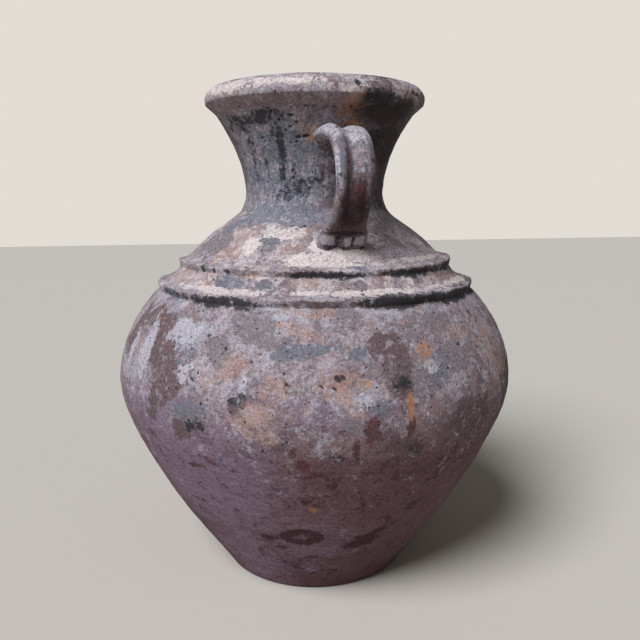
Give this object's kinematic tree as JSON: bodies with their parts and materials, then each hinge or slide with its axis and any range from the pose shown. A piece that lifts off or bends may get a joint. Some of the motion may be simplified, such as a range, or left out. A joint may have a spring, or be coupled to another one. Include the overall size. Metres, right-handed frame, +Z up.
{
  "type": "amphora",
  "caption": "Large free-standing rustic terracotta amphora: full belly tapering to a flat foot, stepped cordons on the shoulder, flared neck with a rolled lip, and strap handles.",
  "frame": {"origin": "centre of the flat foot, on the surface the jar stands on", "axes": "+Z up along the jar's turning axis; the handles lie on the Y axis, handle_front towards -Y"},
  "size_m": [0.5074, 0.5074, 0.618],
  "materials": {
    "body_clay": "matte, unglazed, lime-washed and smoke-stained",
    "lip_clay": "matte, unglazed, paler lime bloom",
    "handle_clay": "matte, unglazed, finger-drawn"
  },
  "bodies": {
    "root": {"floor_slab": "body_clay", "lower_wall": "body_clay", "belly_wall": "body_clay", "upper_belly_wall": "body_clay", "lower_cordon": "body_clay", "shoulder_band": "body_clay", "upper_cordon": "body_clay", "shoulder_cone": "body_clay", "neck": "body_clay", "lip_collar": "lip_clay", "handle_front": "handle_clay", "handle_back": "handle_clay"}
  },
  "joints": []
}
